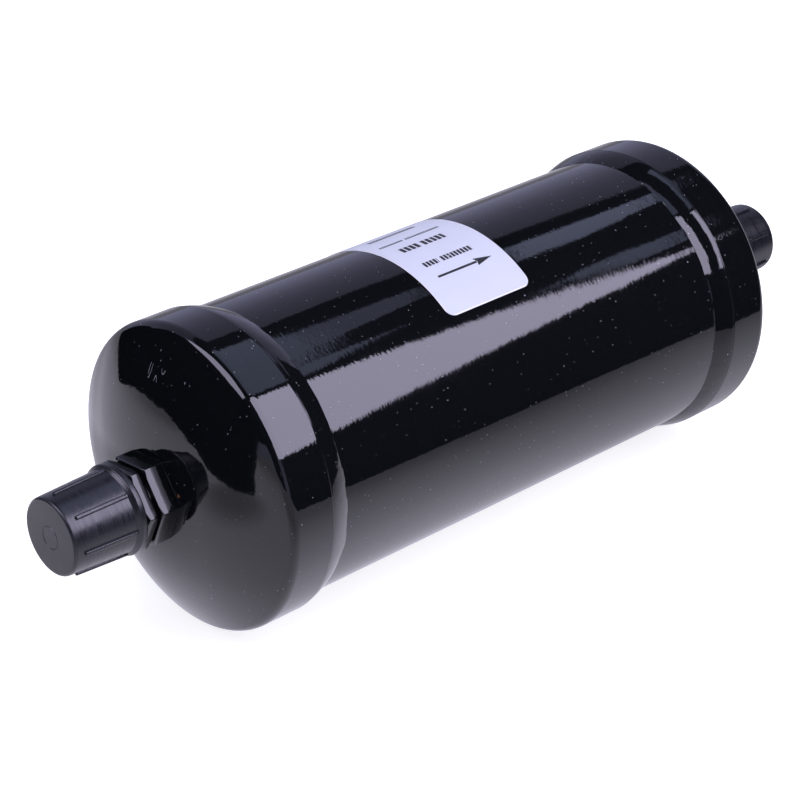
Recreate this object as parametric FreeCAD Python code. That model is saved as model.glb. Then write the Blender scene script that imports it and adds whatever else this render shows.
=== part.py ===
# Liquid-line filter drier: welded steel shell, flare fittings, thread caps and a moulded core.
#
# Frame: +X along the flow, from the inlet to the outlet, +Z up, origin in the middle of the shell's axis.
# Lengths are millimetres. Both ends are drawn for the outlet, on the +X side. The inlet's are turned
# half a turn about Z.
import FreeCAD, Part
import math
import os

AXIS_X = FreeCAD.Vector(1, 0, 0)
AXIS_Z = FreeCAD.Vector(0, 0, 1)
ORIGIN = FreeCAD.Vector(0, 0, 0)

# Shell tube
tube_od = 76.2
tube_wall = 2.0

# Drawn ends, pressed over the tube
seat_span = 189.8
end_wall = 1.9
end_fit = 0.1
skirt_depth = 23.5
knuckle_radius = 4.0
crown_radius = 73.0
seat_margin = 0.15

# Fillet weld between skirt and tube
weld_leg = 5.7
weld_drop = 0.1
weld_bulge = 0.2

# Flare fitting, turned from hexagon bar
hex_across_flats = 20.0
hex_base_length = 5.3
hex_groove_width = 1.2
hex_groove_depth = 1.6
hex_front_length = 2.8
hex_chamfer = 0.9
thread_od = 15.875
thread_length = 14.6
relief_length = 1.6
relief_depth = 1.0
nose_length = 3.1
port_bore = 7.94
port_chamfer = 0.4
spigot_od = 12.7
spigot_reach = 3.0
spigot_fit = 0.05
braze_leg = 2.0
inlet_hex_turn = -6.0
outlet_hex_turn = 0.0

# Moulded thread cap
cap_thread_gap = 0.3
cap_seat_gap = 0.3
cap_tip_gap = 1.0
cap_face_wall = 1.7
cap_mouth_wall = 2.45
cap_end_wall = 1.6
cap_edge_radius = 0.9
cap_corner_chamfer = 0.8
bead_length = 2.9
bead_rise = 0.9
bead_chamfer = 0.9
gate_radius = 2.9
gate_depth = 0.12
rib_count = 7
rib_width = 0.95
rib_height = 0.5
rib_setback = 4.2
inlet_rib_turn = 37.0
outlet_rib_turn = 10.0

# Label on the tube
label_start = -18.6
label_width = 28.6
label_thickness = 0.1
label_corner_radius = 2.6
label_first_angle = 35.0
label_last_angle = 128.0

# Outlet plate, a perforated cup clamped between tube and outlet end
plate_wall = 1.0
plate_depth = 3.0
cup_core_gap = 0.4
plate_hole = 6.0
plate_hole_pitch = 12.0
plate_hole_rings = 2

# Core and its seal
core_flow_gap = 3.6
core_chamfer = 1.5
core_bore = 18.0
core_blind_wall = 22.0
gasket_width = 12.3
pad_gap = 0.2
screen_thickness = 0.6

# Inlet pad, spring plate and spring
inlet_pad_thickness = 4.0
cup_depth = 8.0
cup_hole = 8.0
cup_hole_pitch = 15.0
cup_hole_rings = 2
spring_wire = 2.4
spring_turns = 4
spring_length = 28.0
spring_base_radius = 22.0
spring_top_radius = 13.5
spring_steps_per_turn = 10

# Worked out from the values above
tube_radius = tube_od / 2
tube_bore_radius = tube_radius - tube_wall
skirt_bore_radius = tube_radius + end_fit
skirt_radius = skirt_bore_radius + end_wall
seat_x = seat_span / 2
inner_seat_x = seat_x - end_wall
skirt_edge_x = seat_x - skirt_depth
hex_corner_radius = hex_across_flats / 2 / math.cos(math.radians(30))
seat_radius = hex_corner_radius + seat_margin
inner_crown_radius = crown_radius - end_wall
crown_centre_x = seat_x - math.sqrt(crown_radius ** 2 - seat_radius ** 2)
knuckle_centre_r = skirt_radius - knuckle_radius
knuckle_centre_x = crown_centre_x + math.sqrt((crown_radius - knuckle_radius) ** 2 - knuckle_centre_r ** 2)
crown_start_angle = math.atan2(knuckle_centre_r, knuckle_centre_x - crown_centre_x)
plate_x = knuckle_centre_x - plate_wall

hex_length = hex_base_length + hex_groove_width + hex_front_length
hex_groove_radius = hex_across_flats / 2 - hex_groove_depth
hex_face_x = seat_x + hex_length
thread_radius = thread_od / 2
nose_x = hex_face_x + thread_length
tip_x = nose_x + nose_length
spigot_radius = spigot_od / 2
port_radius = port_bore / 2

cap_mouth_x = hex_face_x + cap_seat_gap
cap_floor_x = tip_x + cap_tip_gap
cap_face_x = cap_floor_x + cap_end_wall
cap_bore_radius = thread_radius + cap_thread_gap
cap_face_radius = cap_bore_radius + cap_face_wall
cap_mouth_radius = cap_bore_radius + cap_mouth_wall

spring_wire_radius = spring_wire / 2
spring_top_reach = math.sqrt((inner_crown_radius - spring_wire_radius) ** 2 - spring_top_radius ** 2)
spring_top_x = -(crown_centre_x + spring_top_reach)
cup_back_x = spring_top_x - spring_wire_radius + spring_length
cup_floor_x = cup_back_x + plate_wall
core_radius = tube_bore_radius - core_flow_gap
core_inlet_x = cup_floor_x + inlet_pad_thickness
core_outlet_x = plate_x
cup_bore_radius = core_radius + cup_core_gap
cup_radius = cup_bore_radius + plate_wall
plate_floor_x = knuckle_centre_x + plate_depth - plate_wall
screen_x = plate_floor_x - screen_thickness
gasket_bore_radius = core_radius - gasket_width
pad_radius = gasket_bore_radius - pad_gap


class Outline:
    """A closed outline in the X-radius half plane, drawn with lines and arcs."""

    def __init__(self, x, r):
        self.start = FreeCAD.Vector(x, 0, r)
        self.here = self.start
        self.edges = []

    def line(self, x, r):
        """Draw a straight line to (x, r)."""
        there = FreeCAD.Vector(x, 0, r)
        self.edges.append(Part.LineSegment(self.here, there).toShape())
        self.here = there
        return self

    def arc(self, via_x, via_r, x, r):
        """Draw an arc through (via_x, via_r) to (x, r)."""
        there = FreeCAD.Vector(x, 0, r)
        self.edges.append(Part.Arc(self.here, FreeCAD.Vector(via_x, 0, via_r), there).toShape())
        self.here = there
        return self

    def face(self):
        """Close the outline, where it is still open, and return its face."""
        if self.here.distanceToPoint(self.start) > 1e-6:
            self.line(self.start.x, self.start.z)
        return Part.Face(Part.Wire(self.edges))

    def turned(self, degrees=360):
        """Return the solid swept by the outline about X."""
        return self.face().revolve(ORIGIN, AXIS_X, degrees)


def at_inlet(shape):
    """Return a copy of an outlet shape, turned round to the inlet end."""
    turned = shape.copy()
    turned.rotate(ORIGIN, AXIS_Z, 180)
    return turned


def spun(shape, degrees):
    """Return a copy of a shape, turned about the shell's axis."""
    turned = shape.copy()
    turned.rotate(ORIGIN, AXIS_X, degrees)
    return turned


def crown_point(radius, angle):
    """Return the (x, r) of a point on a crown of this radius, at an angle from the axis."""
    return crown_centre_x + radius * math.cos(angle), radius * math.sin(angle)


def knuckle_point(radius, angle):
    """Return the (x, r) of a point on a knuckle of this radius, at an angle from the axis."""
    return knuckle_centre_x + radius * math.cos(angle), knuckle_centre_r + radius * math.sin(angle)


def hole_pattern(first_x, last_x, hole_diameter, pitch, rings):
    """Return drills for a centre hole and rings of six, twelve and so on round it."""
    drills = []
    for ring in range(rings):
        for number in range(max(1, 6 * ring)):
            angle = math.radians(360 * number / max(1, 6 * ring))
            centre = FreeCAD.Vector(first_x, ring * pitch * math.cos(angle), ring * pitch * math.sin(angle))
            drills.append(Part.makeCylinder(hole_diameter / 2, last_x - first_x, centre, AXIS_X))
    return drills


def make_shell_tube():
    """The straight tube, which ends against the outlet plate."""
    outline = Outline(-plate_x, tube_bore_radius)
    outline.line(plate_x, tube_bore_radius).line(plate_x, tube_radius).line(-plate_x, tube_radius)
    return outline.turned()


def make_end():
    """A drawn end: skirt, knuckle, shallow crown and a flat seat with the fitting's hole."""
    hole_radius = spigot_radius + spigot_fit
    inner_seat_angle = math.acos((inner_seat_x - crown_centre_x) / inner_crown_radius)
    seat_angle = math.asin(seat_radius / crown_radius)
    knuckle_middle = (crown_start_angle + math.pi / 2) / 2
    outline = Outline(skirt_edge_x, skirt_bore_radius)
    outline.line(knuckle_centre_x, skirt_bore_radius)
    outline.line(*crown_point(inner_crown_radius, crown_start_angle))
    outline.arc(*crown_point(inner_crown_radius, (crown_start_angle + inner_seat_angle) / 2),
                *crown_point(inner_crown_radius, inner_seat_angle))
    outline.line(inner_seat_x, hole_radius)
    outline.line(seat_x, hole_radius)
    outline.line(seat_x, seat_radius)
    outline.arc(*crown_point(crown_radius, (crown_start_angle + seat_angle) / 2),
                *crown_point(crown_radius, crown_start_angle))
    outline.arc(*knuckle_point(knuckle_radius, knuckle_middle), knuckle_centre_x, skirt_radius)
    outline.line(skirt_edge_x, skirt_radius)
    return outline.turned()


def make_seam_weld():
    """The fillet weld: a domed face from the tube up to the outer corner of the skirt's edge."""
    toe_x = skirt_edge_x - weld_leg
    crown_r = skirt_radius - weld_drop
    outline = Outline(toe_x, tube_radius)
    outline.arc((toe_x + skirt_edge_x) / 2, (tube_radius + crown_r) / 2 + weld_bulge, skirt_edge_x, crown_r)
    outline.line(skirt_edge_x, tube_radius)
    return outline.turned()


def make_fitting():
    """The flare fitting: spigot, grooved hexagon, thread at its major diameter and 45 degree nose."""
    hexagon = Part.makePolygon([
        FreeCAD.Vector(seat_x, hex_corner_radius * math.cos(math.radians(60 * corner)),
                       hex_corner_radius * math.sin(math.radians(60 * corner)))
        for corner in range(7)
    ])
    bar = Part.Face(hexagon).extrude(AXIS_X * hex_length)
    groove_x = seat_x + hex_base_length
    front_x = groove_x + hex_groove_width
    chamfer_run = hex_chamfer * math.tan(math.radians(30))
    chamfer_r = hex_corner_radius - hex_chamfer
    barrel = Outline(seat_x, 0)
    barrel.line(seat_x, hex_corner_radius)
    barrel.line(groove_x - chamfer_run, hex_corner_radius)
    barrel.line(groove_x, chamfer_r)
    barrel.line(groove_x, hex_groove_radius)
    barrel.line(front_x, hex_groove_radius)
    barrel.line(front_x, chamfer_r)
    barrel.line(front_x + chamfer_run, hex_corner_radius)
    barrel.line(hex_face_x - chamfer_run, hex_corner_radius)
    barrel.line(hex_face_x, chamfer_r)
    barrel.line(hex_face_x, 0)
    relief_radius = thread_radius - relief_depth
    relief_x = hex_face_x + relief_length
    shank = Outline(hex_face_x, 0)
    shank.line(hex_face_x, relief_radius)
    shank.line(relief_x, relief_radius)
    shank.line(relief_x + relief_depth / 2, thread_radius)
    shank.line(nose_x, thread_radius)
    shank.line(tip_x, thread_radius - nose_length)
    shank.line(tip_x, 0)
    spigot_x = inner_seat_x - spigot_reach
    spigot = Part.makeCylinder(spigot_radius, seat_x - spigot_x, FreeCAD.Vector(spigot_x, 0, 0), AXIS_X)
    port = Outline(spigot_x, 0)
    port.line(spigot_x, port_radius)
    port.line(tip_x - port_chamfer, port_radius)
    port.line(tip_x, port_radius + port_chamfer)
    port.line(tip_x, 0)
    solid = bar.common(barrel.turned()).fuse([shank.turned(), spigot])
    return solid.cut(port.turned()).removeSplitter()


def make_braze_ring():
    """The filler fillet between the fitting's spigot and the inside of the end."""
    outline = Outline(inner_seat_x - braze_leg, spigot_radius)
    outline.line(inner_seat_x, spigot_radius)
    outline.line(inner_seat_x, spigot_radius + braze_leg)
    return outline.turned()


def make_thread_cap():
    """The moulded cap: tapered wall, rounded edge, bead at the mouth and grip ribs."""
    bead_x = cap_mouth_x + bead_length
    slope = (cap_mouth_radius - cap_face_radius) / (cap_face_x - cap_mouth_x)

    def side_radius(x):
        return cap_face_radius + slope * (cap_face_x - x)

    round_off = cap_edge_radius * (1 - math.sqrt(0.5))
    outline = Outline(cap_mouth_x, cap_bore_radius)
    outline.line(cap_mouth_x, cap_mouth_radius)
    outline.line(cap_mouth_x + bead_chamfer, cap_mouth_radius + bead_rise)
    outline.line(bead_x - bead_chamfer, cap_mouth_radius + bead_rise)
    outline.line(bead_x, side_radius(bead_x))
    outline.line(cap_face_x - cap_edge_radius, side_radius(cap_face_x - cap_edge_radius))
    outline.arc(cap_face_x - round_off, cap_face_radius - round_off, cap_face_x, cap_face_radius - cap_edge_radius)
    outline.line(cap_face_x, gate_radius)
    outline.line(cap_face_x - gate_depth, gate_radius)
    outline.line(cap_face_x - gate_depth, 0)
    outline.line(cap_floor_x, 0)
    outline.line(cap_floor_x, cap_bore_radius - cap_corner_chamfer)
    outline.line(cap_floor_x - cap_corner_chamfer, cap_bore_radius)
    cap = outline.turned()

    rib_root = (cap_bore_radius + cap_face_radius) / 2
    rib_end_x = cap_face_x - rib_setback
    rib_start_x = bead_x
    side = Outline(rib_start_x, rib_root)
    side.line(rib_start_x, side_radius(rib_start_x) + rib_height)
    side.line(rib_end_x - rib_height, side_radius(rib_end_x) + rib_height)
    side.line(rib_end_x, side_radius(rib_end_x))
    side.line(rib_end_x, rib_root)
    rib = side.face().extrude(FreeCAD.Vector(0, rib_width, 0))
    rib.translate(FreeCAD.Vector(0, -rib_width / 2, 0))
    ribs = [spun(rib, 360 * number / rib_count) for number in range(rib_count)]
    return cap.fuse(ribs).removeSplitter()


def make_label():
    """The film label, wrapped part of the way round the tube, with rounded corners."""
    label_end = label_start + label_width
    label_radius = tube_radius + label_thickness
    outline = Outline(label_start, tube_radius)
    outline.line(label_end, tube_radius)
    outline.line(label_end, label_radius)
    outline.line(label_start, label_radius)
    label = spun(outline.turned(label_last_angle - label_first_angle), label_first_angle - 90)
    inset_angle = math.degrees(label_corner_radius / tube_radius)
    for angle, side in ((label_first_angle, -1), (label_last_angle, 1)):
        for edge_x, end in ((label_start, -1), (label_end, 1)):
            corner = Part.makeBox(label_corner_radius, label_corner_radius, label_radius)
            corner = corner.cut(Part.makeCylinder(label_corner_radius, label_radius))
            corner.scale(1.01, FreeCAD.Vector(0, 0, label_radius))
            if end * side > 0:
                corner.rotate(ORIGIN, AXIS_Z, 90 if end > 0 else -90)
            else:
                corner.rotate(ORIGIN, AXIS_Z, 0 if end > 0 else 180)
            corner.translate(FreeCAD.Vector(edge_x - end * label_corner_radius, 0, 0))
            label = label.cut(spun(corner, angle - side * inset_angle - 90))
    return label


def make_outlet_plate():
    """The perforated cup that carries the core's outlet end, with its rim between tube and end."""
    floor_end_x = plate_floor_x + plate_wall
    outline = Outline(plate_x, cup_bore_radius)
    outline.line(plate_floor_x, cup_bore_radius).line(plate_floor_x, 0)
    outline.line(floor_end_x, 0).line(floor_end_x, cup_radius)
    outline.line(knuckle_centre_x, cup_radius).line(knuckle_centre_x, tube_radius)
    outline.line(plate_x, tube_radius)
    drills = hole_pattern(plate_floor_x, floor_end_x, plate_hole, plate_hole_pitch, plate_hole_rings)
    return outline.turned().cut(drills)


def make_outlet_screen():
    """The woven wire disc behind the fine pad, as the disc that it fills."""
    return Part.makeCylinder(pad_radius, screen_thickness, FreeCAD.Vector(screen_x, 0, 0), AXIS_X)


def make_outlet_pad():
    """The fine glass-fibre pad over the mouth of the core's bore."""
    return Part.makeCylinder(pad_radius, screen_x - core_outlet_x, FreeCAD.Vector(core_outlet_x, 0, 0), AXIS_X)


def make_core_gasket():
    """The felt ring between the core's outlet face and the plate."""
    outline = Outline(core_outlet_x, gasket_bore_radius)
    outline.line(plate_floor_x, gasket_bore_radius).line(plate_floor_x, core_radius)
    outline.line(core_outlet_x, core_radius)
    return outline.turned()


def make_desiccant_core():
    """The moulded block, with a blind bore that opens to the outlet."""
    bore_radius = core_bore / 2
    blind_x = core_inlet_x + core_blind_wall
    bore_round_x = blind_x + bore_radius
    outline = Outline(core_inlet_x, 0)
    outline.line(blind_x, 0)
    outline.arc(bore_round_x - bore_radius * math.sqrt(0.5), bore_radius * math.sqrt(0.5), bore_round_x, bore_radius)
    outline.line(core_outlet_x, bore_radius)
    outline.line(core_outlet_x, core_radius - core_chamfer)
    outline.line(core_outlet_x - core_chamfer, core_radius)
    outline.line(core_inlet_x + core_chamfer, core_radius)
    outline.line(core_inlet_x, core_radius - core_chamfer)
    return outline.turned()


def make_inlet_pad():
    """The coarse glass-fibre pad between the core and the spring plate."""
    return Part.makeCylinder(core_radius, inlet_pad_thickness, FreeCAD.Vector(cup_floor_x, 0, 0), AXIS_X)


def make_spring_plate():
    """The perforated cup that spreads the spring's push over the pad."""
    outline = Outline(cup_back_x, 0)
    outline.line(cup_back_x, cup_radius)
    outline.line(cup_floor_x + cup_depth, cup_radius)
    outline.line(cup_floor_x + cup_depth, cup_bore_radius)
    outline.line(cup_floor_x, cup_bore_radius)
    outline.line(cup_floor_x, 0)
    drills = hole_pattern(cup_back_x, cup_floor_x, cup_hole, cup_hole_pitch, cup_hole_rings)
    return outline.turned().cut(drills)


def make_core_spring():
    """The conical compression spring between the inlet end and the spring plate."""
    base_x = cup_back_x - spring_wire_radius
    steps = spring_turns * spring_steps_per_turn
    points = []
    for step in range(steps + 1):
        share = step / steps
        angle = 2 * math.pi * spring_turns * share
        radius = spring_top_radius + (spring_base_radius - spring_top_radius) * share
        x = spring_top_x + (base_x - spring_top_x) * share
        points.append(FreeCAD.Vector(x, radius * math.cos(angle), radius * math.sin(angle)))
    line = Part.makePolygon(points)
    section = Part.makeCircle(spring_wire_radius, points[0], points[1] - points[0])
    return line.makePipeShell([Part.Wire(section)], True, False, 1)


def main():
    """Build every piece and write one STEP file for each."""
    end = make_end()
    weld = make_seam_weld()
    fitting = make_fitting()
    braze = make_braze_ring()
    cap = make_thread_cap()
    pieces = {
        "shell_tube": make_shell_tube(),
        "inlet_end": at_inlet(end),
        "outlet_end": end,
        "inlet_seam_weld": at_inlet(weld),
        "outlet_seam_weld": weld,
        "inlet_fitting": spun(at_inlet(fitting), inlet_hex_turn),
        "outlet_fitting": spun(fitting, outlet_hex_turn),
        "inlet_braze_ring": at_inlet(braze),
        "outlet_braze_ring": braze,
        "inlet_thread_cap": spun(at_inlet(cap), inlet_rib_turn),
        "outlet_thread_cap": spun(cap, outlet_rib_turn),
        "label": make_label(),
        "core_spring": make_core_spring(),
        "spring_plate": make_spring_plate(),
        "inlet_pad": make_inlet_pad(),
        "desiccant_core": make_desiccant_core(),
        "core_gasket": make_core_gasket(),
        "outlet_pad": make_outlet_pad(),
        "outlet_screen": make_outlet_screen(),
        "outlet_plate": make_outlet_plate(),
    }
    os.makedirs("parts", exist_ok=True)
    for name, shape in pieces.items():
        shape.exportStep(f"parts/{name}.step")


main()
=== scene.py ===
"""Studio scene of a liquid-line filter drier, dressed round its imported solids.

The drier lies on a white table under soft light. The black paint mirrors what stands round it, so the
studio has soft boxes where the paint shows bright bands and dark flags where it shows none.
Lengths are metres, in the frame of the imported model: +X runs along the flow, +Z is up.
"""
import logging
import math
from contextlib import contextmanager
from dataclasses import dataclass, field
from enum import Enum
from typing import Callable, Iterator, Sequence

import bmesh
import bpy
from mathutils import Matrix, Vector, noise

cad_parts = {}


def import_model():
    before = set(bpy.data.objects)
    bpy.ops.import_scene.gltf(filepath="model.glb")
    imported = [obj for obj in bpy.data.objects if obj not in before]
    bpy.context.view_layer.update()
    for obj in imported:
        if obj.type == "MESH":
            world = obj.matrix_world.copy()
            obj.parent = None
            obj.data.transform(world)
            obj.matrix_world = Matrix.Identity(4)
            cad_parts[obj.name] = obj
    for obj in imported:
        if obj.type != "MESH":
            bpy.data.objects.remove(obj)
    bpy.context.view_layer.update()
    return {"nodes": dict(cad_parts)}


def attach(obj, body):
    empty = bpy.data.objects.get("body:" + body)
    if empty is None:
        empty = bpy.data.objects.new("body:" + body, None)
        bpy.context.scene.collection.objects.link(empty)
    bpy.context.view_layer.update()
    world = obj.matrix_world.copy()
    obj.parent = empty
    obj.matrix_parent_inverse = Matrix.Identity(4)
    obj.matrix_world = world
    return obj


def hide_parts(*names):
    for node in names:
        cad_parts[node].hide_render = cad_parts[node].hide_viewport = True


LOG = logging.getLogger("filter_drier")
MM = 0.001
TUBE_RADIUS = 38.1 * MM
END_WALL = 1.9 * MM
FITTING_SEAT = 94.9 * MM
Point = tuple[float, float, float]
Colour = tuple[float, float, float, float]
Profile = list[tuple[float, float]]
Piece = bpy.types.Object
Socket = bpy.types.NodeSocket


class End(Enum):
    """The two ends of the drier, with the side of the frame that each lies on."""

    INLET = -1
    OUTLET = 1

    @property
    def node_prefix(self) -> str:
        """Return the first word of this end's node names."""
        return self.name.lower()


class Rays(Enum):
    """Which rays see a studio surface."""

    REFLECTIONS = "reflections"
    REFLECTIONS_AND_LIGHT = "reflections and light"


# Modelling helpers


def clear_selection() -> None:
    """Leave object mode's selection empty."""
    if bpy.context.object and bpy.context.object.mode != "OBJECT":
        bpy.ops.object.mode_set(mode="OBJECT")
    bpy.ops.object.select_all(action="DESELECT")


def make_active(piece: Piece) -> None:
    """Select one object alone and make it active.

    Args:
        piece: the object to work on.
    """
    clear_selection()
    piece.select_set(True)
    bpy.context.view_layer.objects.active = piece


@contextmanager
def edit_mode(piece: Piece) -> Iterator[bmesh.types.BMesh]:
    """Open a piece in edit mode with nothing selected.

    Args:
        piece: the mesh object to edit.

    Yields:
        The edit mesh, for selecting by place.
    """
    make_active(piece)
    bpy.ops.object.mode_set(mode="EDIT")
    bpy.ops.mesh.select_mode(type="VERT")
    bpy.ops.mesh.select_all(action="DESELECT")
    yield bmesh.from_edit_mesh(piece.data)
    bpy.ops.object.mode_set(mode="OBJECT")


def close_and_face_out(piece: Piece, distance: float = 0.002 * MM) -> None:
    """Merge doubled vertices and turn every face outwards.

    Args:
        piece: the mesh object.
        distance: vertices closer than this become one.
    """
    with edit_mode(piece):
        bpy.ops.mesh.select_all(action="SELECT")
        bpy.ops.mesh.remove_doubles(threshold=distance)
        bpy.ops.mesh.normals_make_consistent(inside=False)


def apply_modifier(piece: Piece, kind: str, **settings: object) -> None:
    """Add a modifier, give it its settings and apply it.

    Args:
        piece: the mesh object.
        kind: the modifier's type, such as BEVEL.
        settings: the modifier's properties.
    """
    make_active(piece)
    modifier = piece.modifiers.new(kind.lower(), kind)
    for name, value in settings.items():
        setattr(modifier, name, value)
    bpy.ops.object.modifier_apply(modifier=modifier.name)


def round_edges(piece: Piece, width: float, segments: int, degrees: float) -> None:
    """Bevel the edges that are sharper than an angle.

    Args:
        piece: the mesh object.
        width: the bevel's width.
        segments: how many faces go round it.
        degrees: the smallest angle that is bevelled.
    """
    apply_modifier(piece, "BEVEL", width=width, segments=segments, limit_method="ANGLE",
                   angle_limit=math.radians(degrees))


def smooth(piece: Piece, degrees: float) -> None:
    """Shade a piece smoothly across edges flatter than an angle.

    Args:
        piece: the mesh object.
        degrees: the largest angle that is smoothed.
    """
    make_active(piece)
    bpy.ops.object.shade_smooth_by_angle(angle=math.radians(degrees))


def settle(piece: Piece) -> None:
    """Put a piece's place, turn and scale into its mesh.

    Args:
        piece: the mesh object.
    """
    make_active(piece)
    bpy.ops.object.transform_apply(location=True, rotation=True, scale=True)


def join(name: str, pieces: Sequence[Piece]) -> Piece:
    """Join several meshes into one named piece.

    Args:
        name: the joined piece's name.
        pieces: the meshes, the first of which stays.

    Returns:
        The joined piece.
    """
    clear_selection()
    for piece in pieces:
        piece.select_set(True)
    bpy.context.view_layer.objects.active = pieces[0]
    bpy.ops.object.join()
    pieces[0].name = name
    pieces[0].data.name = name
    return pieces[0]


def arc(centre: tuple[float, float], radius: float, first: float, last: float, steps: int) -> Profile:
    """Return points on an arc in the X-radius half plane.

    Args:
        centre: the arc's centre, as x and radius.
        radius: the arc's radius.
        first: the first point's angle from +X, in degrees.
        last: the last point's angle.
        steps: how many spans the arc has.

    Returns:
        The points, both ends included.
    """
    points = []
    for step in range(steps + 1):
        angle = math.radians(first + (last - first) * step / steps)
        points.append((centre[0] + radius * math.cos(angle), centre[1] + radius * math.sin(angle)))
    return points


def turn_profile(name: str, profile: Profile, steps: int, closed: bool = True) -> Piece:
    """Draw a profile by extruding a vertex, then spin it about the X axis.

    Args:
        name: the new piece's name.
        profile: the points, as x and radius, in metres.
        steps: the number of spans round the axis.
        closed: whether the last point joins the first.

    Returns:
        The turned piece.
    """
    clear_selection()
    start = Vector((profile[0][0], 0, profile[0][1]))
    bpy.ops.mesh.primitive_plane_add(size=MM, location=(0, 0, 0))
    piece = bpy.context.object
    piece.name = name
    piece.data.name = name
    with edit_mode(piece) as mesh:
        mesh.verts.ensure_lookup_table()
        mesh.verts[0].select = True
        mesh.verts[0].co = start
        mesh.select_flush_mode()
        bpy.ops.mesh.select_all(action="INVERT")
        bpy.ops.mesh.delete(type="VERT")
        bpy.ops.mesh.select_all(action="SELECT")
        here = start
        for x, radius in profile[1:] + (profile[:1] if closed else []):
            there = Vector((x, 0, radius))
            bpy.ops.mesh.extrude_region_move(TRANSFORM_OT_translate={"value": there - here})
            here = there
        bpy.ops.mesh.select_all(action="SELECT")
        if closed:
            bpy.ops.mesh.remove_doubles(threshold=0.001 * MM)
            bpy.ops.mesh.select_all(action="SELECT")
        bpy.ops.mesh.spin(steps=steps, angle=2 * math.pi, center=(0, 0, 0), axis=(1, 0, 0))
    close_and_face_out(piece)
    return piece


def face_outlet(piece: Piece, end: End) -> None:
    """Turn a piece that was drawn at the outlet round to its own end.

    Args:
        piece: the mesh object, drawn on the +X side.
        end: the end it belongs to.
    """
    if end is End.INLET:
        piece.data.transform(Matrix.Rotation(math.pi, 4, "Z"))


def turn_about_axis(piece: Piece, degrees: float) -> None:
    """Turn a piece's mesh about the drier's axis.

    Args:
        piece: the mesh object.
        degrees: the angle, from +Y towards +Z.
    """
    piece.data.transform(Matrix.Rotation(math.radians(degrees), 4, "X"))


# Shader node helpers


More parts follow.
